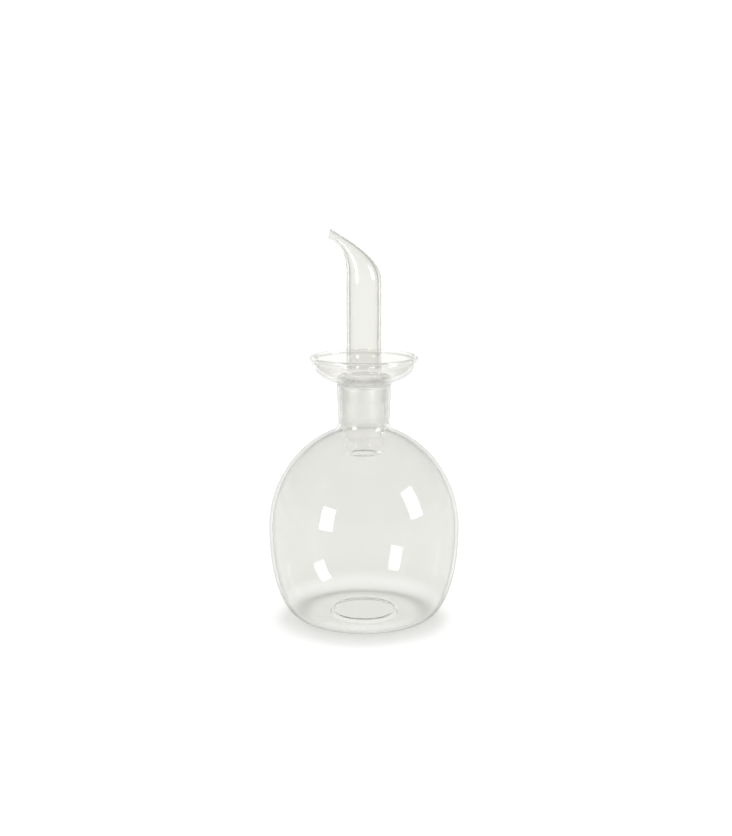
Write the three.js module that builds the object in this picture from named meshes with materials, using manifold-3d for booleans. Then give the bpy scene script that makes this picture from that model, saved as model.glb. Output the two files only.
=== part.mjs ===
// Glass oil cruet: a blown globe bottle whose neck is ground inside, and the hollow stopper that
// sits in it, blown in one piece with its ground cone, drip cup and bent pouring spout.
// Millimetres, +Z up. The origin is on the bottle's axis, in the plane that the bottle stands on,
// and the spout points along -X.

import * as THREE from "three";
import Module from "manifold-3d";
import { mergeVertices } from "three/addons/utils/BufferGeometryUtils.js";

// Bottle: globe, heel and punt
const globeRadius = 52.5;
const widestHeight = 50.2;
const crownHeight = 57.2;
const crownExponent = 1.96;
const heelExponent = 2.14;
const standingRadius = 33;
const puntRadius = 17.5;
const puntRise = 1.9;
const puntStepWidth = 2.6;
const puntInnerShift = 0.55;
const bottleWall = 1.65;
const baseWall = 1.2;
const heelFadeHeight = 18;

// Bottle: neck and its ground bore
const neckRadius = 13.9;
const neckTaper = 0.05;
const neckFilletRadius = 5.5;
const rimHeight = 130.2;
const rimRounding = 0.5;

// Stopper: ground cone and the clear end below it
const groundGap = 0.3;
const coneFootHeight = 105.2;
const coneWall = 1.6;
const clearEndRadius = 10.7;
const clearEndTop = 102.4;
const clearEndWall = 1.5;
const footTurnHeight = 96;
const footHeight = 90.7;
const footHoleRadius = 6.4;
const boreBellTop = 134;
const boreBellFoot = 128;

// Stopper: drip cup
const cupRimRadius = 29.35;
const cupRimHeight = 144.1;
const cupBeadRadius = 1.25;
const cupBeadOverhang = 0.75;
const beadStartAngle = -0.3;
const beadEndAngle = Math.PI * 1.2;
const cupEndAngle = -0.1;
const cupInsideStartAngle = -0.2;
const cupFootRadius = 11.8;
const cupUndersideHeight = 131;
const cupWall = 1.5;
const cupFloorHeight = 133;
const cupFloorFillet = 1.4;
const collarHeight = 130.4;
const collarHalfRise = 0.4;
const collarSwell = 0.5;
const collarReach = 1.4;

// Stopper: spout tube, its bend and its drawn tip
const tubeRadius = 9.4;
const tubeWall = 1.5;
const bendStartHeight = 184;
const bendLength = 33;
const backReach = 17.5;
const backHeight = 213.4;
const backRiseHandle = 8.6;
const backTipHandle = 28;
const backTipAngle = THREE.MathUtils.degToRad(31);
const throatReach = 18.8;
const throatHeight = 208.3;
const throatRiseHandle = 5;
const throatTipHandle = 12;
const throatTipAngle = THREE.MathUtils.degToRad(19);
const tipWall = 0.9;

// Drip-return hole, low in the tube above the cup's floor
const dripHoleRadius = 1.1;
const dripHoleRise = 1.9;
const dripHoleAzimuth = THREE.MathUtils.degToRad(-63);
const dripHoleCutLength = 3.6;

// Fineness of the facets. The heel's steps crowd where it turns fastest.
const bottleSegments = 56;
const stopperSegments = 38;
const crownSteps = 11;
const heelSteps = 8;
const heelCrowding = 1.35;
const neckFilletSteps = 4;
const rimSteps = 2;
const puntSteps = 3;
const bendSteps = 13;
const cupSteps = 9;
const cupInsideSteps = 7;
const cupBeadSteps = 8;
const cupFilletSteps = 3;
const footSteps = 5;
const footInsideSteps = 4;
const lipSteps = 4;
const shoulderSteps = 3;
const dripHoleSegments = 12;

const wasm = await Module();
wasm.setup();

const glass = new THREE.MeshStandardMaterial({ color: 0xe6e8e2, roughness: 0.03, metalness: 0 });

function smoothStep(fraction) {
  const f = THREE.MathUtils.clamp(fraction, 0, 1);
  return f * f * (3 - 2 * f);
}

// Points of an ellipse's arc in the profile plane, radius along x and height along y.
function arcPoints(centreR, centreZ, radiusR, radiusZ, fromAngle, toAngle, steps) {
  const clockwise = toAngle < fromAngle;
  const arc = new THREE.EllipseCurve(centreR, centreZ, radiusR, radiusZ, fromAngle, toAngle, clockwise);
  return arc.getPoints(steps);
}

// A soft step from one radius to another between two heights.
function softStep(fromR, fromZ, toR, toZ, steps) {
  const points = [];
  for (let i = 0; i <= steps; i += 1) {
    const f = i / steps;
    points.push(new THREE.Vector2(fromR + (toR - fromR) * smoothStep(f), fromZ + (toZ - fromZ) * f));
  }
  return points;
}

function heelPoint(turn) {
  const out = Math.sin(turn) ** (2 / heelExponent);
  const up = 1 - Math.cos(turn) ** (2 / heelExponent);
  return new THREE.Vector2(standingRadius + (globeRadius - standingRadius) * out, widestHeight * up);
}

function crownPoint(turn) {
  const out = Math.cos(turn) ** (2 / crownExponent);
  const up = Math.sin(turn) ** (2 / crownExponent);
  return new THREE.Vector2(globeRadius * out, widestHeight + crownHeight * up);
}

function crownNormal(turn) {
  const step = 1e-4;
  const way = crownPoint(turn + step).sub(crownPoint(turn - step)).normalize();
  return new THREE.Vector2(way.y, -way.x);
}

// Where the crown meets the arc that turns it up into the neck, found by halving the span.
function filletContact() {
  let low = 0.3;
  let high = Math.PI / 2 - 0.01;
  for (let i = 0; i < 50; i += 1) {
    const middle = (low + high) / 2;
    const centreR = crownPoint(middle).x + crownNormal(middle).x * neckFilletRadius;
    if (centreR > neckRadius + neckFilletRadius) {
      low = middle;
    } else {
      high = middle;
    }
  }
  const normal = crownNormal(low);
  const centre = crownPoint(low).add(normal.clone().multiplyScalar(neckFilletRadius));
  return { turn: low, normal, centre };
}

function wallAt(height) {
  return bottleWall + (baseWall - bottleWall) * (1 - smoothStep(height / heelFadeHeight));
}

// The inner face of a wall, from the outer face's points in upward order.
function insideOf(points) {
  return points.map((point, i) => {
    const before = points[Math.max(i - 1, 0)];
    const after = points[Math.min(i + 1, points.length - 1)];
    const way = after.clone().sub(before).normalize();
    const wall = wallAt(point.y);
    return new THREE.Vector2(point.x - way.y * wall, point.y + way.x * wall);
  });
}

// The soft step by which the underside or, higher up, the floor rises from the ring to the punt.
function puntStep(middleR, ringHeight) {
  const points = [];
  for (let i = 0; i <= puntSteps; i += 1) {
    const share = i / puntSteps;
    const r = middleR + puntStepWidth * (0.5 - share);
    points.push(new THREE.Vector2(r, ringHeight + puntRise * smoothStep(share)));
  }
  return points;
}

function bottleProfile() {
  const contact = filletContact();
  const globe = [];
  for (let i = 0; i < heelSteps; i += 1) {
    globe.push(heelPoint((Math.PI / 2) * (i / heelSteps) ** heelCrowding));
  }
  for (let i = 0; i <= crownSteps; i += 1) {
    globe.push(crownPoint((contact.turn * i) / crownSteps));
  }
  const filletStart = Math.atan2(-contact.normal.y, -contact.normal.x);
  const innerFilletRadius = neckFilletRadius + bottleWall;
  const fillet = arcPoints(contact.centre.x, contact.centre.y, neckFilletRadius, neckFilletRadius,
    filletStart, -Math.PI, neckFilletSteps).slice(1);
  const bore = arcPoints(contact.centre.x, contact.centre.y, innerFilletRadius, innerFilletRadius,
    filletStart, -Math.PI, neckFilletSteps).slice(1);

  const neckRise = rimHeight - contact.centre.y;
  const rimOuter = neckRadius + neckRise * neckTaper;
  const rimInner = rimOuter - bottleWall;
  const rimTurnHeight = rimHeight - rimRounding;
  const rim = [
    ...arcPoints(rimOuter - rimRounding, rimTurnHeight, rimRounding, rimRounding, 0, Math.PI / 2, rimSteps),
    ...arcPoints(rimInner + rimRounding, rimTurnHeight, rimRounding, rimRounding,
      Math.PI / 2, Math.PI, rimSteps),
  ];

  // the underside runs from the middle of the punt out to the flat ring that the bottle stands on
  const underside = [new THREE.Vector2(0, puntRise), ...puntStep(puntRadius, 0).reverse()];
  const inside = insideOf(globe);
  const floor = [
    ...puntStep(puntRadius + puntInnerShift, baseWall),
    new THREE.Vector2(0, baseWall + puntRise),
  ];
  return [
    ...underside, ...globe, ...fillet, ...rim,
    ...bore.reverse(), ...inside.reverse(), ...floor,
  ];
}

// One edge of the bent spout seen from the side, from the tube's straight edge to the tip.
function spoutEdge(startX, startHandle, reach, height, tipAngle, tipHandle) {
  const start = new THREE.Vector2(startX, bendStartHeight);
  const afterStart = new THREE.Vector2(startX, bendStartHeight + startHandle);
  const tip = new THREE.Vector2(-reach, height);
  const tipWay = new THREE.Vector2(Math.cos(tipAngle), -Math.sin(tipAngle));
  const beforeTip = tipWay.multiplyScalar(tipHandle).add(tip);
  return new THREE.CubicBezierCurve(start, afterStart, beforeTip, tip);
}

const backEdge = spoutEdge(tubeRadius, backRiseHandle, backReach, backHeight, backTipAngle, backTipHandle);
const throatEdge = spoutEdge(-tubeRadius, throatRiseHandle, throatReach, throatHeight, throatTipAngle,
  throatTipHandle);

// The round section of the spout between its two edges, at a share of the way to the tip.
function spoutSection(share) {
  const back = backEdge.getPoint(share);
  const throat = throatEdge.getPoint(share);
  const across = back.clone().sub(throat);
  const radius = across.length() / 2;
  return { centre: back.add(throat).multiplyScalar(0.5), across: across.normalize(), radius };
}

function spoutWall(share) {
  return tubeWall + (tipWall - tubeWall) * smoothStep(share);
}

// The quarter turn that draws the clear end in to its hole, as the outer face or, inset by the
// wall, as the inner one.
function footTurn(inset, fromAngle, toAngle, steps) {
  const reach = clearEndRadius - footHoleRadius - clearEndWall / 2 - inset;
  const drop = footTurnHeight - footHeight - inset;
  return arcPoints(clearEndRadius - inset - reach, footTurnHeight, reach, drop, fromAngle, toAngle, steps);
}

// The stopper's profile with its spout still straight.
function stopperProfile() {
  const boreAtRim = neckRadius + (rimHeight - filletContact().centre.y) * neckTaper - bottleWall;
  const coneTop = boreAtRim - groundGap;
  const coneFoot = coneTop - (rimHeight - coneFootHeight) * neckTaper;
  const holeLip = arcPoints(footHoleRadius + clearEndWall / 2, footHeight + clearEndWall / 2,
    clearEndWall / 2, clearEndWall / 2, Math.PI / 2, Math.PI * 1.5, lipSteps).slice(1, -1);
  const footOutside = footTurn(0, -Math.PI / 2, 0, footSteps);
  const footInside = footTurn(clearEndWall, 0, -Math.PI / 2, footInsideSteps);
  const clearEnd = softStep(clearEndRadius, clearEndTop, coneFoot, coneFootHeight, shoulderSteps);
  const collar = [
    new THREE.Vector2(coneTop, collarHeight - collarHalfRise),
    new THREE.Vector2(coneTop + collarSwell, collarHeight + collarHalfRise),
  ];

  // the cup: a quarter of an ellipse outside and inside, joined by the bead of its rim
  const cupReach = cupRimRadius - cupBeadOverhang - cupFootRadius;
  const cupStart = -Math.PI / 2 + Math.asin((coneTop + collarReach - cupFootRadius) / cupReach);
  const cup = arcPoints(cupFootRadius, cupRimHeight, cupReach, cupRimHeight - cupUndersideHeight,
    cupStart, cupEndAngle, cupSteps);
  const bead = arcPoints(cupRimRadius - cupBeadRadius, cupRimHeight, cupBeadRadius, cupBeadRadius,
    beadStartAngle, beadEndAngle, cupBeadSteps);
  const cupInside = arcPoints(cupFootRadius, cupRimHeight, cupReach - cupWall,
    cupRimHeight - cupFloorHeight, cupInsideStartAngle, -Math.PI / 2, cupInsideSteps);
  const floorFillet = arcPoints(tubeRadius + cupFloorFillet, cupFloorHeight + cupFloorFillet,
    cupFloorFillet, cupFloorFillet, -Math.PI / 2, -Math.PI, cupFilletSteps);

  const spoutOutside = [];
  const spoutInside = [];
  for (let i = 0; i <= bendSteps; i += 1) {
    const share = i / bendSteps;
    const height = bendStartHeight + bendLength * share;
    const { radius } = spoutSection(share);
    spoutOutside.push(new THREE.Vector2(radius, height));
    spoutInside.push(new THREE.Vector2(radius - spoutWall(share), height));
  }
  const lipCentre = spoutSection(1).radius - tipWall / 2;
  const lip = arcPoints(lipCentre, bendStartHeight + bendLength, tipWall / 2, tipWall / 2, 0, Math.PI,
    lipSteps).slice(1, -1);

  const boreBell = softStep(tubeRadius - tubeWall, boreBellTop, coneTop - coneWall, boreBellFoot,
    shoulderSteps);
  const boreFoot = softStep(coneFoot - coneWall, coneFootHeight, clearEndRadius - clearEndWall,
    clearEndTop, shoulderSteps);
  return [
    ...holeLip, ...footOutside, ...clearEnd, ...collar,
    ...cup, ...bead, ...cupInside, ...floorFillet,
    ...spoutOutside, ...lip, ...spoutInside.reverse(),
    ...boreBell, ...boreFoot, ...footInside,
    holeLip[0].clone(),
  ];
}

function latheOf(profile, segments) {
  const geometry = new THREE.LatheGeometry(profile, segments);
  geometry.deleteAttribute("uv");
  geometry.deleteAttribute("normal");
  geometry.rotateX(Math.PI / 2);
  return geometry;
}

// Moves what lies above the bend's start off the straight axis, section by section.
function bendSpout(geometry) {
  const place = geometry.getAttribute("position");
  for (let i = 0; i < place.count; i += 1) {
    const beyond = place.getZ(i) - bendStartHeight;
    if (beyond > 0) {
      const past = Math.max(beyond - bendLength, 0);
      const { centre, across } = spoutSection(Math.min(beyond / bendLength, 1));
      const x = centre.x + across.x * place.getX(i) - across.y * past;
      const z = centre.y + across.y * place.getX(i) + across.x * past;
      place.setXYZ(i, x, place.getY(i), z);
    }
  }
  return geometry;
}

function toSolid(geometry) {
  const merged = mergeVertices(geometry, 1e-4);
  return new wasm.Manifold(new wasm.Mesh({
    numProp: 3,
    vertProperties: new Float32Array(merged.getAttribute("position").array),
    triVerts: new Uint32Array(merged.getIndex().array),
  }));
}

function toGeometry(solid) {
  const mesh = solid.getMesh();
  const geometry = new THREE.BufferGeometry();
  geometry.setAttribute("position", new THREE.BufferAttribute(mesh.vertProperties, 3));
  geometry.setIndex(new THREE.BufferAttribute(mesh.triVerts, 1));
  geometry.computeVertexNormals();
  return geometry;
}

function dripHoleCutter() {
  const cutter = new THREE.CylinderGeometry(dripHoleRadius, dripHoleRadius, dripHoleCutLength,
    dripHoleSegments);
  cutter.deleteAttribute("uv");
  cutter.deleteAttribute("normal");
  cutter.rotateZ(Math.PI / 2);
  cutter.translate(tubeRadius - tubeWall / 2, 0, 0);
  cutter.rotateZ(dripHoleAzimuth);
  cutter.translate(0, 0, cupFloorHeight + dripHoleRise);
  return cutter;
}

function makeBottle() {
  const blown = toSolid(latheOf(bottleProfile(), bottleSegments));
  const bottle = new THREE.Mesh(toGeometry(blown), glass.clone());
  bottle.name = "bottle";
  return bottle;
}

function makeStopper() {
  const blown = toSolid(bendSpout(latheOf(stopperProfile(), stopperSegments)));
  const pierced = blown.subtract(toSolid(dripHoleCutter()));
  const stopper = new THREE.Mesh(toGeometry(pierced), glass.clone());
  stopper.name = "stopper";
  return stopper;
}

const cruet = new THREE.Group();
cruet.add(makeBottle(), makeStopper());

export default cruet;
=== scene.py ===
import math

import bpy
import bmesh
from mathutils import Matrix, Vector, noise


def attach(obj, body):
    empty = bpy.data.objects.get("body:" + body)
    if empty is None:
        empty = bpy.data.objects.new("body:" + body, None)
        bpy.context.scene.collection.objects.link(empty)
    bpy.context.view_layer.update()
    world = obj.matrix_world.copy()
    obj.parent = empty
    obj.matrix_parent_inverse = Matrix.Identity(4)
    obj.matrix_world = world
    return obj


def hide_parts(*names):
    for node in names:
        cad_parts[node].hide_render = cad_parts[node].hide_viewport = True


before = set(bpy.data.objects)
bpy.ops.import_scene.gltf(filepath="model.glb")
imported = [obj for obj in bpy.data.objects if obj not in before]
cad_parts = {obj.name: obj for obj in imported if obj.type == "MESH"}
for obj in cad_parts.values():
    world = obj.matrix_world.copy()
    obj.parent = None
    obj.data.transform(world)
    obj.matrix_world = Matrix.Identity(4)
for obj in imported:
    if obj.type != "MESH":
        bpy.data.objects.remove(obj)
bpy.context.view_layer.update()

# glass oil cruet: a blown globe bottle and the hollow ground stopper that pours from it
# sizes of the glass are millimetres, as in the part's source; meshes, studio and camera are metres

millimetre = 0.001
rightAngle = math.pi / 2
onAxis = 1e-6  # a radius below this is a point on the axis


# small drawing helpers

def smoothStep(fraction):
    f = min(max(fraction, 0.0), 1.0)
    return f * f * (3 - 2 * f)


def between(low, high, share):
    return low + (high - low) * share


def arcPoints(centreR, centreZ, reachR, reachZ, fromAngle, toAngle, steps):
    points = []
    for i in range(steps + 1):
        turn = between(fromAngle, toAngle, i / steps)
        points.append((centreR + reachR * math.cos(turn), centreZ + reachZ * math.sin(turn)))
    return points


# a soft S that rises evenly and moves sideways slowly at both ends
def softStep(fromR, fromZ, toR, toZ, steps):
    shares = [i / steps for i in range(steps + 1)]
    return [(between(fromR, toR, smoothStep(share)), between(fromZ, toZ, share)) for share in shares]


# the points between two ends, without the ends
def evenSteps(fromPoint, toPoint, steps):
    return [(between(fromPoint[0], toPoint[0], i / steps), between(fromPoint[1], toPoint[1], i / steps))
            for i in range(1, steps)]


def dropDoubles(profile, least=0.004):
    kept = [profile[0]]
    for point in profile[1:]:
        if math.dist(point, kept[-1]) > least:
            kept.append(point)
    return kept


def newPiece(name, mesh):
    data = bpy.data.meshes.new(name)
    mesh.to_mesh(data)
    mesh.free()
    piece = bpy.data.objects.new(name, data)
    bpy.context.scene.collection.objects.link(piece)
    return piece


# turned mesh from a profile, in millimetres until shapeOf places each point in metres
def turnedMesh(name, profile, segments, closed, shapeOf):
    mesh = bmesh.new()
    rings = []
    for r, z in profile:
        if r < onAxis:
            rings.append([mesh.verts.new(shapeOf(0.0, 0.0, z))])
        else:
            ring = []
            for i in range(segments):
                turn = 2 * math.pi * i / segments
                ring.append(mesh.verts.new(shapeOf(r * math.cos(turn), r * math.sin(turn), z)))
            rings.append(ring)
    spans = len(rings) if closed else len(rings) - 1
    for k in range(spans):
        low, high = rings[k], rings[(k + 1) % len(rings)]
        for i in range(segments):
            j = (i + 1) % segments
            if len(low) == 1:
                face = mesh.faces.new((low[0], high[j], high[i]))
            elif len(high) == 1:
                face = mesh.faces.new((low[i], low[j], high[0]))
            else:
                face = mesh.faces.new((low[i], low[j], high[j], high[i]))
            face.smooth = True
    bmesh.ops.recalc_face_normals(mesh, faces=mesh.faces)
    return newPiece(name, mesh)


# numbers kept at every point of the mesh, worked out from its distance to the axis and its height
def keepShares(piece, shares):
    for share, valueAt in shares.items():
        values = []
        for point in piece.data.vertices:
            x, y, z = point.co / millimetre
            values.append(valueAt(math.hypot(x, y), z))
        piece.data.attributes.new(share, "FLOAT", "POINT").data.foreach_set("value", values)


# node helpers

def newMaterial(name):
    material = bpy.data.materials.new(name)
    material.use_nodes = True
    tree = material.node_tree
    tree.nodes.clear()
    return material, tree


def addNode(tree, kind, **values):
    node = tree.nodes.new(kind)
    for key, value in values.items():
        setattr(node, key, value)
    return node


# a socket takes either a plain value or what another node gives out
def feed(tree, socket, value):
    if isinstance(value, bpy.types.NodeSocket):
        tree.links.new(value, socket)
    else:
        socket.default_value = value


# a number that keepShares left on the mesh
def keptShare(tree, name):
    return addNode(tree, "ShaderNodeAttribute", attribute_name=name).outputs["Fac"]


def reckon(tree, operation, first, second):
    node = addNode(tree, "ShaderNodeMath", operation=operation)
    feed(tree, node.inputs[0], first)
    feed(tree, node.inputs[1], second)
    return node.outputs["Value"]


def fromRange(tree, kind, value, given, wanted):
    node = addNode(tree, "ShaderNodeMapRange", interpolation_type=kind)
    feed(tree, node.inputs["Value"], value)
    feed(tree, node.inputs["From Min"], given[0])
    feed(tree, node.inputs["From Max"], given[1])
    feed(tree, node.inputs["To Min"], wanted[0])
    feed(tree, node.inputs["To Max"], wanted[1])
    return node.outputs["Result"]


# the colours of a Mix node are its inputs 6 and 7 and its output 2
def mixColours(tree, share, first, second):
    node = addNode(tree, "ShaderNodeMix", data_type="RGBA")
    feed(tree, node.inputs["Factor"], share)
    feed(tree, node.inputs[6], first)
    feed(tree, node.inputs[7], second)
    return node.outputs[2]


def mixShaders(tree, share, first, second):
    node = addNode(tree, "ShaderNodeMixShader")
    feed(tree, node.inputs["Fac"], share)
    feed(tree, node.inputs[1], first)
    feed(tree, node.inputs[2], second)
    return node.outputs["Shader"]


def clearSheet(tree, tint):
    node = addNode(tree, "ShaderNodeBsdfTransparent")
    feed(tree, node.inputs["Color"], tint)
    return node.outputs["BSDF"]


def noiseOver(tree, place, size):
    node = addNode(tree, "ShaderNodeTexNoise")
    feed(tree, node.inputs["Vector"], place)
    feed(tree, node.inputs["Scale"], size)
    return node


def bumpFrom(tree, height, depth):
    node = addNode(tree, "ShaderNodeBump")
    feed(tree, node.inputs["Height"], height)
    feed(tree, node.inputs["Distance"], depth)
    return node


# glass

bottleGlass = {
    "tint": (0.828, 0.830, 0.81, 1.0),
    # painted shade: the wall's colour darkens towards the outline
    "edgeShadeTint": (0.5, 0.5, 0.47, 1.0),
    "edgeShadeFall": 4.5,          # how closely the painted edge shade keeps to the outline
    # painted shade: a thin dark line at the outline
    "outlineShadeTint": (0.66, 0.66, 0.63, 1.0),
    "outlineShadeFrom": 0.7,          # slant at which the thin painted shade line at the outline starts
    "outlineShadeFull": 0.95,         # slant from which it is at its full strength
    # painted light: the lighter colour where the tint is taken away
    "lightenedTint": (0.99, 0.99, 0.985, 1.0),
    "bendOfLight": 1.47,
    "shadowTint": (0.98, 0.98, 0.976, 1.0),
    "shadowEdgeTint": (0.6, 0.6, 0.59, 1.0),
    "heelTint": (0.785, 0.785, 0.775, 1.0),
    "rippleSize": 14.0,       # ripples per metre in the blown wall
    "rippleDetail": 1.0,
    "rippleDepth": 0.00012,   # metres
    "frost": 0.24,            # roughness of the ground bore
}

stopperGlass = {
    "tint": (0.862, 0.86, 0.841, 1.0),
    # painted shade: the wall's colour darkens towards the outline
    "edgeShadeTint": (0.4, 0.4, 0.36, 1.0),
    "edgeShadeFall": 2.4,
    # painted shade: a thin dark line at the outline
    "outlineShadeTint": (0.75, 0.75, 0.71, 1.0),
    "outlineShadeFrom": 0.45,
    "outlineShadeFull": 0.9,
    # painted light: the lighter colour where the tint is taken away
    "lightenedTint": (0.99, 0.99, 0.98, 1.0),
    "bendOfLight": 1.47,
    "shadowTint": (0.99, 0.99, 0.988, 1.0),
    "shadowEdgeTint": (0.6, 0.6, 0.59, 1.0),
    "heelTint": (1.0, 1.0, 1.0, 1.0),  # the stopper has no heel, so this doesn't show
    "rippleSize": 22.0,
    "rippleDetail": 1.0,
    "rippleDepth": 0.00006,
    "frost": 0.24,            # roughness of the ground cone
}

grinding = {
    "grainSize": 2600.0,      # grains per metre
    "grainDepth": 0.000004,   # metres
    "patchSize": 180.0,       # uneven patches per metre
    "patchSpread": 0.05,      # how far the roughness wanders
}


# matt only where the mesh says it was ground, and a little uneven there
def groundRoughness(tree, look, place, ground):
    patch = noiseOver(tree, place, grinding["patchSize"]).outputs["Fac"]
    frosted = (look["frost"] - grinding["patchSpread"], look["frost"] + grinding["patchSpread"])
    return reckon(tree, "MULTIPLY", fromRange(tree, "LINEAR", patch, (0.0, 1.0), frosted), ground)


# the tint of the wall: painted light lightens it where its tint share is low, and painted shade darkens it
# towards the outline
def wallTint(tree, look, edge):
    cast = keptShare(tree, "cast")
    plain = mixColours(tree, cast, look["lightenedTint"], look["tint"])
    return mixColours(tree, reckon(tree, "MULTIPLY", edge, cast), plain, look["edgeShadeTint"])


# slow ripples of the blown wall, with the fine grain of the ground parts on top
def wallRelief(tree, look, place, ground):
    ripple = noiseOver(tree, place, look["rippleSize"])
    feed(tree, ripple.inputs["Detail"], look["rippleDetail"])
    ripples = bumpFrom(tree, ripple.outputs["Fac"], look["rippleDepth"])
    grain = noiseOver(tree, place, grinding["grainSize"])
    grains = bumpFrom(tree, grain.outputs["Fac"], grinding["grainDepth"])
    feed(tree, grains.inputs["Strength"], ground)
    feed(tree, grains.inputs["Normal"], ripples.outputs["Normal"])
    return grains.outputs["Normal"]


# painted shade: a thin dark see-through sheet laid over the glass at its very outline
def withOutlineShade(tree, look, slant, glass):
    reach = fromRange(tree, "SMOOTHSTEP", slant, (look["outlineShadeFrom"], look["outlineShadeFull"]), (0.0, 1.0))
    share = reckon(tree, "MULTIPLY", reach, keptShare(tree, "line"))
    return mixShaders(tree, share, glass, clearSheet(tree, look["outlineShadeTint"]))


# light on its way to the floor meets a thin tinted sheet instead of the glass
def withShadow(tree, look, edge, glass):
    rays = addNode(tree, "ShaderNodeLightPath")
    onWay = reckon(tree, "MAXIMUM", rays.outputs["Is Shadow Ray"], rays.outputs["Is Diffuse Ray"])
    shade = mixColours(tree, edge, look["shadowTint"], look["shadowEdgeTint"])
    heeled = mixColours(tree, keptShare(tree, "heel"), shade, look["heelTint"])
    return mixShaders(tree, onWay, glass, clearSheet(tree, heeled))


# clear blown glass, matt where the mesh says it was ground; its colour carries painted light and painted
# shade, and a painted dark line sits at its outline
def blownGlass(name, look):
    material, tree = newMaterial(name)
    place = addNode(tree, "ShaderNodeTexCoord").outputs["Object"]
    ground = keptShare(tree, "ground")
    weight = addNode(tree, "ShaderNodeLayerWeight")
    weight.inputs["Blend"].default_value = 0.5  # the slant as it is, neither stretched nor squeezed
    slant = weight.outputs["Facing"]
    # the share of painted edge shade by slant, also the edge of the shadow sheet
    edge = reckon(tree, "POWER", slant, look["edgeShadeFall"])
    glass = addNode(tree, "ShaderNodeBsdfPrincipled")
    glass.inputs["IOR"].default_value = look["bendOfLight"]
    glass.inputs["Transmission Weight"].default_value = 1.0
    feed(tree, glass.inputs["Roughness"], groundRoughness(tree, look, place, ground))
    feed(tree, glass.inputs["Base Color"], wallTint(tree, look, edge))
    feed(tree, glass.inputs["Normal"], wallRelief(tree, look, place, ground))
    outlineShaded = withOutlineShade(tree, look, slant, glass.outputs["BSDF"])
    out = addNode(tree, "ShaderNodeOutputMaterial")
    feed(tree, out.inputs["Surface"], withShadow(tree, look, edge, outlineShaded))
    return material


globeGlass = blownGlass("globeGlass", bottleGlass)
spoutGlass = blownGlass("spoutGlass", stopperGlass)
print("glass mixed")


# bottle: globe, heel, punt and neck

bottleSizes = {
    # the form
    "globeRadius": 52.5, "widestHeight": 50.2, "crownHeight": 57.2,
    "crownExponent": 1.96, "heelExponent": 2.14, "standingRadius": 33.0,
    "puntRadius": 17.5, "puntRise": 1.9, "puntStep": 2.6, "puntInnerShift": 0.55,
    "wall": 1.65, "baseWall": 1.2, "heelFade": 18.0,
    "neckRadius": 13.9, "neckTaper": 0.05, "neckFillet": 5.5,
    "rimHeight": 130.2, "rimRounding": 0.5,
    # how far the blown wall wanders, and where it runs true again
    "waviness": 0.12, "waveSize": 0.03, "waveShift": 7.0,
    "trueBase": 12.0, "trueNeck": 112.0, "trueFade": 15.0, "trueCore": 8.0,
    # where the bore was ground
    "groundFrom": 108.6, "groundShort": 0.4, "boreFrom": 108.0, "boreMargin": 0.9,
    # where the wall is tinted, and where painted light takes some of the tint away
    "groundCast": 0.65, "castFrom": 3.0, "castFade": 9.0, "clearRim": 1.6,
    # where the heel holds light back
    "heelShadeFrom": 27.0, "heelShadeTop": 7.0, "heelShadeSoft": 9.0,
    # how strongly the painted outline shade shows
    "heelOutlineShade": 0.8, "upperOutlineShade": 0.6, "outlineShadeFadeFrom": 8.0, "outlineShadeFade": 24.0, "outlineShadeReach": 4.0,
    # how finely the mesh follows the form
    "segments": 192, "heelSteps": 44, "heelCrowding": 1.35, "crownSteps": 60, "filletSteps": 18,
    "lipSteps": 6, "neckSteps": 14, "boreSteps": 30, "puntSteps": 16, "flatSteps": 8,
}


def heelPoint(size, turn):
    out = math.sin(turn) ** (2 / size["heelExponent"])
    up = 1 - max(math.cos(turn), 0.0) ** (2 / size["heelExponent"])
    r = size["standingRadius"] + (size["globeRadius"] - size["standingRadius"]) * out
    return (r, size["widestHeight"] * up)


def crownPoint(size, turn):
    out = math.cos(turn) ** (2 / size["crownExponent"])
    up = math.sin(turn) ** (2 / size["crownExponent"])
    return (size["globeRadius"] * out, size["widestHeight"] + size["crownHeight"] * up)


def crownNormal(size, turn, hair=1e-4):
    a, b = crownPoint(size, turn - hair), crownPoint(size, turn + hair)
    length = math.dist(a, b)
    return ((b[1] - a[1]) / length, -(b[0] - a[0]) / length)


# where the crown meets the arc that turns it up into the neck, found by halving
def filletContact(size, low=0.3, high=rightAngle - 0.01, halvings=50):
    for _ in range(halvings):
        middle = (low + high) / 2
        centreR = crownPoint(size, middle)[0] + crownNormal(size, middle)[0] * size["neckFillet"]
        if centreR > size["neckRadius"] + size["neckFillet"]:
            low = middle
        else:
            high = middle
    point, normal = crownPoint(size, low), crownNormal(size, low)
    centre = (point[0] + normal[0] * size["neckFillet"], point[1] + normal[1] * size["neckFillet"])
    return low, normal, centre


# the inside of the globe, a wall's thickness in from the outside
def insideOf(size, points):
    inner = []
    for i, (r, z) in enumerate(points):
        a, b = points[max(i - 1, 0)], points[min(i + 1, len(points) - 1)]
        length = math.dist(a, b)
        thick = between(size["baseWall"], size["wall"], smoothStep(z / size["heelFade"]))
        inner.append((r - (b[1] - a[1]) / length * thick, z + (b[0] - a[0]) / length * thick))
    return inner


# the soft S by which the floor rises into the punt
def puntStep(fromR, fromZ, toR, toZ, steps):
    shares = [i / steps for i in range(steps + 1)]
    return [(between(fromR, toR, share), between(fromZ, toZ, smoothStep(share))) for share in shares]


# the punt and the flat ring round it, from the axis out to the heel
def undersideLine(size, heelFoot):
    half = size["puntStep"] / 2
    middle = (0.0, size["puntRise"])
    step = puntStep(size["puntRadius"] - half, middle[1], size["puntRadius"] + half, 0.0,
                    size["puntSteps"])
    return ([middle] + evenSteps(middle, step[0], size["flatSteps"]) + step
            + evenSteps(step[-1], heelFoot, size["flatSteps"]))


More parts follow.
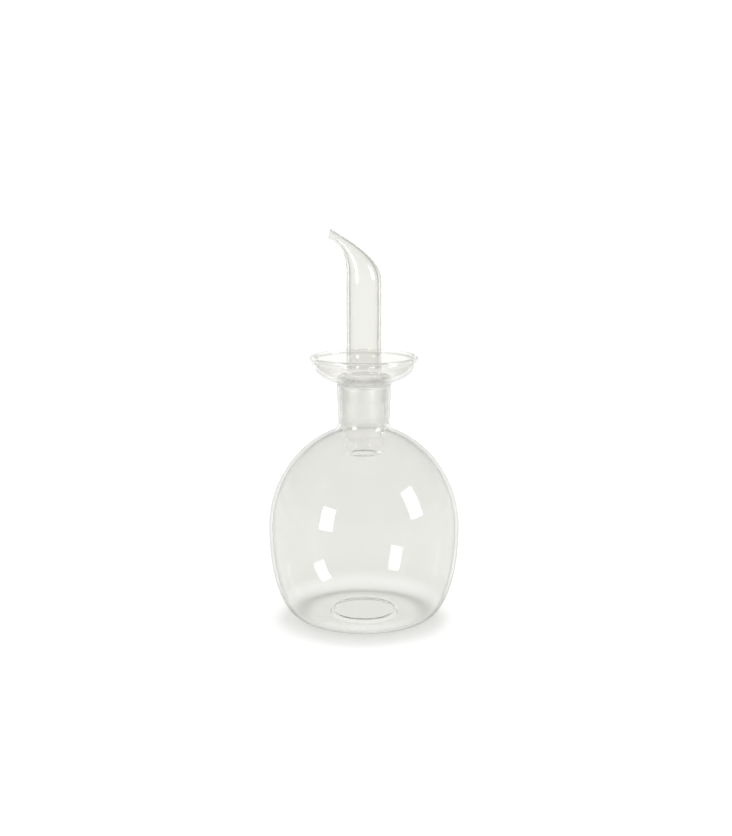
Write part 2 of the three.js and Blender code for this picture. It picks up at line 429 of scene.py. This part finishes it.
# the same floor from inside, from the foot of the wall to the axis
def floorLine(size, wallFoot):
    half = size["puntStep"] / 2
    shifted = size["puntRadius"] + size["puntInnerShift"]
    middle = (0.0, size["baseWall"] + size["puntRise"])
    step = puntStep(shifted + half, size["baseWall"], shifted - half, middle[1], size["puntSteps"])
    return (evenSteps(wallFoot, step[0], size["flatSteps"]) + step
            + evenSteps(step[-1], middle, size["flatSteps"]) + [middle])


# the rim, rounded outside and inside
def rimLine(size, outer):
    lip = size["rimRounding"]
    height = size["rimHeight"] - lip
    inner = outer - size["wall"]
    return (arcPoints(outer - lip, height, lip, lip, 0, rightAngle, size["lipSteps"])
            + arcPoints(inner + lip, height, lip, lip, rightAngle, math.pi, size["lipSteps"]))


def bottleProfile(size):
    turn, normal, centre = filletContact(size)
    crowding = size["heelCrowding"]
    heelTurns = [rightAngle * (i / size["heelSteps"]) ** crowding for i in range(size["heelSteps"])]
    crownTurns = [turn * i / size["crownSteps"] for i in range(size["crownSteps"] + 1)]
    globe = [heelPoint(size, at) for at in heelTurns] + [crownPoint(size, at) for at in crownTurns]
    inner = insideOf(size, globe)
    start = math.atan2(-normal[1], -normal[0])
    reach, boreReach = size["neckFillet"], size["neckFillet"] + size["wall"]
    fillet = arcPoints(*centre, reach, reach, start, -math.pi, size["filletSteps"])[1:]
    bore = arcPoints(*centre, boreReach, boreReach, start, -math.pi, size["filletSteps"])[1:]
    rim = rimLine(size, size["neckRadius"] + (size["rimHeight"] - centre[1]) * size["neckTaper"])
    neckOut = evenSteps(fillet[-1], rim[0], size["neckSteps"])
    neckIn = evenSteps(rim[-1], bore[-1], size["boreSteps"])
    return dropDoubles(undersideLine(size, globe[0]) + globe + fillet + neckOut + rim + neckIn
                       + bore[::-1] + inner[::-1] + floorLine(size, inner[0]))


# blown glass is never quite true: the wall wanders by a tenth of a millimetre, always inwards
def wavedPlace(x, y, z):
    size = bottleSizes
    r = math.hypot(x, y)
    if r < onAxis:
        return Vector((0.0, 0.0, z * millimetre))
    wave = size["waveSize"]
    swell = noise.noise(Vector((x * wave, y * wave, z * wave + size["waveShift"])))
    fade = smoothStep(z / size["trueBase"]) * smoothStep((size["trueNeck"] - z) / size["trueFade"])
    shrink = 1 - size["waviness"] * fade * (0.5 + 0.5 * swell) / max(r, size["trueCore"])
    return Vector((x * shrink * millimetre, y * shrink * millimetre, z * millimetre))


# 1 below the rim, falling to 0 at its top
def belowRim(z):
    return smoothStep((bottleSizes["rimHeight"] - z) / bottleSizes["clearRim"])


def bottleGround(r, z):
    size = bottleSizes
    reach = size["neckRadius"] - size["wall"] + size["boreMargin"]
    inBore = r < reach + (z - size["boreFrom"]) * size["neckTaper"]
    return 1.0 if inBore and size["groundFrom"] < z < size["rimHeight"] - size["groundShort"] else 0.0


# painted light: the base plate and the rim get far less of the wall's tint, the ground bore a little less,
# so they show lighter
def bottleCast(r, z):
    wall = between(1.0, bottleSizes["groundCast"], bottleGround(r, z))
    return wall * smoothStep((z - bottleSizes["castFrom"]) / bottleSizes["castFade"]) * belowRim(z)


# the curved heel turns light aside and casts most of the shadow
def bottleHeel(r, z):
    soft = bottleSizes["heelShadeSoft"]
    outward = smoothStep((r - bottleSizes["heelShadeFrom"]) / soft)
    return outward * (1.0 - smoothStep((z - bottleSizes["heelShadeTop"]) / soft))


# how strongly the painted outline shade shows: most at the thick heel, not on the flat base
def bottleOutlineShade(r, z):
    size = bottleSizes
    upward = smoothStep((z - size["outlineShadeFadeFrom"]) / size["outlineShadeFade"])
    onHeel = smoothStep((r - size["standingRadius"]) / size["outlineShadeReach"])
    offBase = 1.0 if z > size["outlineShadeFadeFrom"] else onHeel
    return between(size["heelOutlineShade"], size["upperOutlineShade"], upward) * offBase * belowRim(z)


bottle = turnedMesh("bottleGlass", bottleProfile(bottleSizes), bottleSizes["segments"],
                    False, wavedPlace)
keepShares(bottle, {"ground": bottleGround, "cast": bottleCast, "heel": bottleHeel, "line": bottleOutlineShade})
bottle.data.materials.append(globeGlass)
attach(bottle, "root")
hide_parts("bottle")
print("bottle blown:", len(bottle.data.polygons), "faces")


# stopper: ground cone, drawn-in lower end, drip cup and bent spout

stopperSizes = {
    # ground cone and the clear end below it
    "groundGap": 0.3, "coneFoot": 105.2, "coneWall": 1.6,
    "clearEndRadius": 10.7, "clearEndTop": 102.4, "clearEndWall": 1.5,
    "footTurn": 96.0, "footHeight": 90.7, "footHole": 6.4,
    # small steps by which the cone goes over into the cup, and the bell inside it
    "coneShort": 0.6, "coneEase": 0.4, "coneEaseOut": 0.5, "cupBlend": 1.4,
    "bellAbove": 1.0, "bellBelow": 3.0,
    # drip cup; its arcs stop a little short of the rim, as angles, and meet the bead there
    "cupRim": 29.35, "cupRimHeight": 144.1, "cupBead": 1.25,
    "cupFoot": 11.8, "cupUnderside": 131.0, "cupWall": 1.5, "cupFloor": 133.0, "cupFillet": 1.4,
    "beadOverlap": 0.6, "cupOutStop": -0.1, "beadStart": -0.3, "beadHalfTurns": 1.2, "cupInStart": -0.2,
    # tube and spout
    "tubeRadius": 9.4, "tubeWall": 1.5, "bendStart": 184.0, "bendLength": 33.0,
    "backReach": 17.5, "backHeight": 213.37, "backRise": 8.6, "backTip": 28.0, "backAngle": 31.0,
    "throatReach": 18.8, "throatHeight": 208.3, "throatRise": 5.0, "throatTip": 12.0,
    "throatAngle": 19.0, "tipWall": 0.9,
    # the drip-return hole
    "holeRadius": 1.1, "holeRise": 1.9, "holeTurn": -63.0, "holeLength": 3.6, "holeSides": 32,
    # where the cone was ground, where painted light takes tint from the wall and how strongly the painted
    # outline shade shows
    "groundShort": 0.9, "groundOutside": 11.0,
    "cupCast": 0.9, "cupCastFrom": 3.0, "cupCastFade": 6.0, "tubeFrom": 1.0, "tubeCastFade": 8.0,
    # painted outline shade: its strength on the cup (cupLine), and the heights where it starts and fades
    # in
    "cupLine": 0.25, "outlineShadeFrom": 1.5, "outlineShadeFade": 4.0,
    # how finely the mesh follows the form
    "segments": 144, "footLipSteps": 10, "footOutSteps": 16, "footInSteps": 14, "shoulderSteps": 8,
    "endSteps": 6, "coneSteps": 24, "cupOutSteps": 30, "beadSteps": 20, "cupInSteps": 26,
    "filletSteps": 8, "tubeSteps": 40, "bendSteps": 72, "lipSteps": 10, "bellSteps": 12,
}


def bezierPoint(points, share):
    a, b, c, d = points
    rest = 1 - share
    return tuple(rest ** 3 * a[k] + 3 * rest * rest * share * b[k]
                 + 3 * rest * share * share * c[k] + share ** 3 * d[k] for k in range(2))


# the two curved edges of the spout seen from the side, as the corners that draw each of them
def spoutEdges(size):
    def edge(startX, rise, reach, height, angle, handle):
        slope = math.radians(angle)
        tip = (-reach, height)
        return ((startX, size["bendStart"]), (startX, size["bendStart"] + rise),
                (tip[0] + math.cos(slope) * handle, tip[1] - math.sin(slope) * handle), tip)
    back = edge(size["tubeRadius"], size["backRise"], size["backReach"], size["backHeight"],
                size["backAngle"], size["backTip"])
    throat = edge(-size["tubeRadius"], size["throatRise"], size["throatReach"], size["throatHeight"],
                  size["throatAngle"], size["throatTip"])
    return back, throat


backEdge, throatEdge = spoutEdges(stopperSizes)


# the spout's round section between its two edges
def spoutSection(share):
    back, throat = bezierPoint(backEdge, share), bezierPoint(throatEdge, share)
    width = math.dist(back, throat)
    across = ((back[0] - throat[0]) / width, (back[1] - throat[1]) / width)
    return ((back[0] + throat[0]) / 2, (back[1] + throat[1]) / 2), across, width / 2


# radius of the cone at its top and at its foot, a gap away from the neck's bore
def coneRadii(size):
    neck = bottleSizes
    filletHeight = filletContact(neck)[2][1]
    boreAtRim = neck["neckRadius"] + (neck["rimHeight"] - filletHeight) * neck["neckTaper"] - neck["wall"]
    top = boreAtRim - size["groundGap"]
    return top, top - (neck["rimHeight"] - size["coneFoot"]) * neck["neckTaper"]


# the drawn-in lower end, outside or a wall's thickness in from it
def footArc(size, inset, fromAngle, toAngle, steps):
    reach = size["clearEndRadius"] - size["footHole"] - size["clearEndWall"] / 2 - inset
    drop = size["footTurn"] - size["footHeight"] - inset
    return arcPoints(size["clearEndRadius"] - inset - reach, size["footTurn"], reach, drop,
                     fromAngle, toAngle, steps)


# the cup from its foot on the cone, over the beaded rim, down to the tube
def cupLine(size, coneTop):
    reach = size["cupRim"] - size["cupBead"] * size["beadOverlap"] - size["cupFoot"]
    blend = -rightAngle + math.asin((coneTop + size["cupBlend"] - size["cupFoot"]) / reach)
    outside = arcPoints(size["cupFoot"], size["cupRimHeight"], reach,
                        size["cupRimHeight"] - size["cupUnderside"],
                        blend, size["cupOutStop"], size["cupOutSteps"])
    bead = arcPoints(size["cupRim"] - size["cupBead"], size["cupRimHeight"], size["cupBead"],
                     size["cupBead"], size["beadStart"], math.pi * size["beadHalfTurns"],
                     size["beadSteps"])
    inside = arcPoints(size["cupFoot"], size["cupRimHeight"], reach - size["cupWall"],
                       size["cupRimHeight"] - size["cupFloor"],
                       size["cupInStart"], -rightAngle, size["cupInSteps"])
    fillet = arcPoints(size["tubeRadius"] + size["cupFillet"], size["cupFloor"] + size["cupFillet"],
                       size["cupFillet"], size["cupFillet"], -rightAngle, -math.pi, size["filletSteps"])
    return outside + bead + inside + fillet


# the spout drawn out straight, up the outside, over the tip's lip and down the bore
def spoutLine(size):
    outside, inside = [], []
    for i in range(size["bendSteps"] + 1):
        share = i / size["bendSteps"]
        height = size["bendStart"] + size["bendLength"] * share
        radius = spoutSection(share)[2]
        wall = between(size["tubeWall"], size["tipWall"], smoothStep(share))
        outside.append((radius, height))
        inside.append((radius - wall, height))
    tip = size["tipWall"] / 2
    lip = arcPoints(spoutSection(1)[2] - tip, size["bendStart"] + size["bendLength"], tip, tip,
                    0, math.pi, size["lipSteps"])[1:-1]
    return outside + lip + inside[::-1]


def stopperProfile(size):
    coneTop, coneFoot = coneRadii(size)
    half = size["clearEndWall"] / 2
    footLip = arcPoints(size["footHole"] + half, size["footHeight"] + half, half, half,
                        rightAngle, math.pi * 1.5, size["footLipSteps"])[1:-1]
    footOut = footArc(size, 0, -rightAngle, 0, size["footOutSteps"])
    footIn = footArc(size, size["clearEndWall"], 0, -rightAngle, size["footInSteps"])
    shoulder = softStep(size["clearEndRadius"], size["clearEndTop"], coneFoot, size["coneFoot"],
                        size["shoulderSteps"])
    boreFoot = softStep(coneFoot - size["coneWall"], size["coneFoot"],
                        size["clearEndRadius"] - size["clearEndWall"], size["clearEndTop"],
                        size["shoulderSteps"])
    coneEnd = size["cupUnderside"] - size["coneShort"]
    coneRise = [(coneTop, coneEnd - size["coneEase"]),
                (coneTop + size["coneEaseOut"], coneEnd + size["coneEase"])]
    bell = softStep(size["tubeRadius"] - size["tubeWall"], size["cupFloor"] + size["bellAbove"],
                    coneTop - size["coneWall"], size["cupUnderside"] - size["bellBelow"],
                    size["bellSteps"])
    cup, spout = cupLine(size, coneTop), spoutLine(size)
    outside = (footLip + footOut + evenSteps(footOut[-1], shoulder[0], size["endSteps"]) + shoulder
               + evenSteps(shoulder[-1], coneRise[0], size["coneSteps"]) + coneRise + cup)
    tube = evenSteps(cup[-1], spout[0], size["tubeSteps"])
    tubeBore = evenSteps(spout[-1], bell[0], size["tubeSteps"])
    inside = (bell + evenSteps(bell[-1], boreFoot[0], size["coneSteps"]) + boreFoot
              + evenSteps(boreFoot[-1], footIn[0], size["endSteps"]) + footIn)
    return dropDoubles(outside + tube + spout + tubeBore + inside)


# above the tube the drawn-out spout is bent into place
def bentPlace(x, y, z):
    beyond = z - stopperSizes["bendStart"]
    if beyond <= 0:
        return Vector((x * millimetre, y * millimetre, z * millimetre))
    past = max(beyond - stopperSizes["bendLength"], 0.0)
    centre, across, _ = spoutSection(min(beyond / stopperSizes["bendLength"], 1.0))
    return Vector(((centre[0] + across[0] * x - across[1] * past) * millimetre, y * millimetre,
                   (centre[1] + across[1] * x + across[0] * past) * millimetre))


# the small hole low in the tube, through which drops run back
def pierce(piece, size):
    away = size["tubeRadius"] - size["tubeWall"] / 2
    turn = math.radians(size["holeTurn"])
    outward = Vector((math.cos(turn), math.sin(turn), 0.0))
    sideways = Vector((-math.sin(turn), math.cos(turn), 0.0))
    middle = outward * away + Vector((0.0, 0.0, size["cupFloor"] + size["holeRise"]))
    mesh = bmesh.new()
    ends = []
    for side in (-0.5, 0.5):
        ring = []
        for i in range(size["holeSides"]):
            angle = 2 * math.pi * i / size["holeSides"]
            across = sideways * math.cos(angle) + Vector((0.0, 0.0, math.sin(angle)))
            place = middle + outward * side * size["holeLength"] + across * size["holeRadius"]
            ring.append(mesh.verts.new(place * millimetre))
        ends.append(ring)
        mesh.faces.new(ring)
    for i in range(size["holeSides"]):
        j = (i + 1) % size["holeSides"]
        mesh.faces.new((ends[0][i], ends[0][j], ends[1][j], ends[1][i]))
    bmesh.ops.recalc_face_normals(mesh, faces=mesh.faces)
    drill = newPiece("drill", mesh)
    cut = piece.modifiers.new("hole", "BOOLEAN")
    cut.operation = "DIFFERENCE"
    cut.object = drill
    bpy.context.view_layer.objects.active = piece
    bpy.ops.object.modifier_apply(modifier=cut.name)
    bpy.data.objects.remove(drill)


def stopperGround(r, z):
    onCone = stopperSizes["coneFoot"] <= z < stopperSizes["cupUnderside"] - stopperSizes["groundShort"]
    return 1.0 if onCone and r > stopperSizes["groundOutside"] else 0.0


# painted light: the part inside the neck gets less tint than the tube, so it shows lighter behind the
# neck's wall; the cup lies between
def stopperCast(r, z):
    size = stopperSizes
    onTube = smoothStep((z - size["cupFloor"] - size["tubeFrom"]) / size["tubeCastFade"])
    onCup = smoothStep((r - size["cupFoot"] - size["cupCastFrom"]) / size["cupCastFade"])
    return onTube * (1 - onCup) + size["cupCast"] * onCup


# the painted outline shade shows on the tube, faintly on the cup and not on what sits in the neck
def stopperOutlineShade(r, z):
    size = stopperSizes
    onTube = smoothStep((z - size["cupRimHeight"] - size["outlineShadeFrom"]) / size["outlineShadeFade"])
    aboveFoot = smoothStep((z - size["cupFloor"] - size["tubeFrom"]) / size["outlineShadeFade"])
    return aboveFoot * between(size["cupLine"], 1.0, onTube)


stopper = turnedMesh("stopperGlass", stopperProfile(stopperSizes), stopperSizes["segments"],
                     True, bentPlace)
pierce(stopper, stopperSizes)
keepShares(stopper, {"ground": stopperGround, "cast": stopperCast, "line": stopperOutlineShade})
stopper.data.materials.append(spoutGlass)
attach(stopper, "root")
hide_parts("stopper")
print("stopper drawn:", len(stopper.data.polygons), "faces")


# studio: pale floor, soft light all round, a wide high sun and two soft boxes

studio = {
    "floorColour": (0.93, 0.93, 0.925, 1.0), "floorHalf": 60.0, "floorDrop": 0.00015,
    "floorRoughness": 0.9, "floorGloss": 0.1,
    # the room's light by the height of the way it is seen: wallBright up to wallTop, roomDim past roomFrom
    "wallBright": 1.06, "roomDim": 0.8, "wallTop": 0.14, "roomFrom": 0.3,
    "sunStrength": 1.85, "sunWidth": 36.0, "sunWay": (0.08, 0.62, 0.78),
    "boxAim": (0.0, 0.0, 0.07),
}

softBoxes = {
    "softBoxRight": {"way": (0.852, -0.338, 0.401), "distance": 1.3,
                     "width": 0.40, "height": 0.62, "power": 6.5},
    "softBoxLeft": {"way": (-0.697, -0.677, 0.234), "distance": 1.3,
                    "width": 0.38, "height": 0.50, "power": 5.0},
}


def makeFloor():
    mesh = bmesh.new()
    half = studio["floorHalf"]
    corners = ((-half, -half), (half, -half), (half, half), (-half, half))
    mesh.faces.new([mesh.verts.new((x, y, -studio["floorDrop"])) for x, y in corners])
    floor = newPiece("floor", mesh)
    material, tree = newMaterial("palePaper")
    paper = addNode(tree, "ShaderNodeBsdfPrincipled")
    paper.inputs["Base Color"].default_value = studio["floorColour"]
    paper.inputs["Roughness"].default_value = studio["floorRoughness"]
    paper.inputs["Specular IOR Level"].default_value = studio["floorGloss"]
    out = addNode(tree, "ShaderNodeOutputMaterial")
    tree.links.new(paper.outputs["BSDF"], out.inputs["Surface"])
    floor.data.materials.append(material)


# the room: bright all round up to a low height, softer light above
def makeRoom():
    world = bpy.data.worlds.new("room")
    bpy.context.scene.world = world
    world.use_nodes = True
    tree = world.node_tree
    tree.nodes.clear()
    parts = addNode(tree, "ShaderNodeSeparateXYZ")
    feed(tree, parts.inputs["Vector"], addNode(tree, "ShaderNodeTexCoord").outputs["Generated"])
    light = addNode(tree, "ShaderNodeBackground")
    light.inputs["Color"].default_value = (1.0, 1.0, 1.0, 1.0)
    strength = fromRange(tree, "SMOOTHSTEP", parts.outputs["Z"], (studio["wallTop"], studio["roomFrom"]),
                         (studio["wallBright"], studio["roomDim"]))
    feed(tree, light.inputs["Strength"], strength)
    out = addNode(tree, "ShaderNodeOutputWorld")
    feed(tree, out.inputs["Surface"], light.outputs["Background"])
    world.cycles.sampling_method = "NONE"


# a lamp that only shows as a highlight in the glass, so that the floor stays even
def makeSoftBox(name, box):
    data = bpy.data.lights.new(name, "AREA")
    data.shape = "RECTANGLE"
    data.size = box["width"]
    data.size_y = box["height"]
    data.energy = box["power"]
    lamp = bpy.data.objects.new(name, data)
    aim = Vector(studio["boxAim"])
    lamp.location = aim + Vector(box["way"]).normalized() * box["distance"]
    lamp.rotation_euler = (aim - lamp.location).to_track_quat("-Z", "Y").to_euler()
    lamp.visible_diffuse = False
    bpy.context.scene.collection.objects.link(lamp)


# the light that lays the soft shadow on the floor, unseen in the glass itself
def makeSun():
    data = bpy.data.lights.new("highLight", "SUN")
    data.energy = studio["sunStrength"]
    data.angle = math.radians(studio["sunWidth"])
    data.cycles.use_multiple_importance_sampling = False
    lamp = bpy.data.objects.new("highLight", data)
    lamp.location = Vector(studio["sunWay"])
    lamp.rotation_euler = (-lamp.location).to_track_quat("-Z", "Y").to_euler()
    lamp.visible_glossy = False
    lamp.visible_transmission = False
    bpy.context.scene.collection.objects.link(lamp)


makeFloor()
makeRoom()
for boxName, box in softBoxes.items():
    makeSoftBox(boxName, box)
makeSun()
print("studio lit")


# camera at the photograph's angle, and how far light is followed through the glass

eye = {
    "right": 0.0011, "away": 0.700, "height": 0.246, "tilt": 10.91,
    "focalPixels": 1306.0, "pictureHeight": 836, "sensor": 36.0,
    "allTurns": 64, "glassTurns": 60, "clearTurns": 16,
}


def makeCamera():
    data = bpy.data.cameras.new("camera")
    data.sensor_fit = "VERTICAL"
    data.sensor_height = eye["sensor"]
    data.sensor_width = eye["sensor"]
    data.lens = eye["focalPixels"] / eye["pictureHeight"] * eye["sensor"]
    camera = bpy.data.objects.new("camera", data)
    camera.location = (eye["right"], -eye["away"], eye["height"])
    camera.rotation_euler = (math.radians(90 - eye["tilt"]), 0.0, 0.0)
    bpy.context.scene.collection.objects.link(camera)
    bpy.context.scene.camera = camera


def setLightPaths():
    view = bpy.context.scene.view_settings
    view.view_transform = "Standard"
    view.look = "None"
    cycles = bpy.context.scene.cycles
    cycles.max_bounces = eye["allTurns"]
    cycles.transmission_bounces = eye["glassTurns"]
    cycles.glossy_bounces = eye["glassTurns"]
    cycles.transparent_max_bounces = eye["clearTurns"]
    cycles.caustics_refractive = True
    cycles.caustics_reflective = True
    cycles.use_denoising = True


makeCamera()
setLightPaths()
print("camera set")
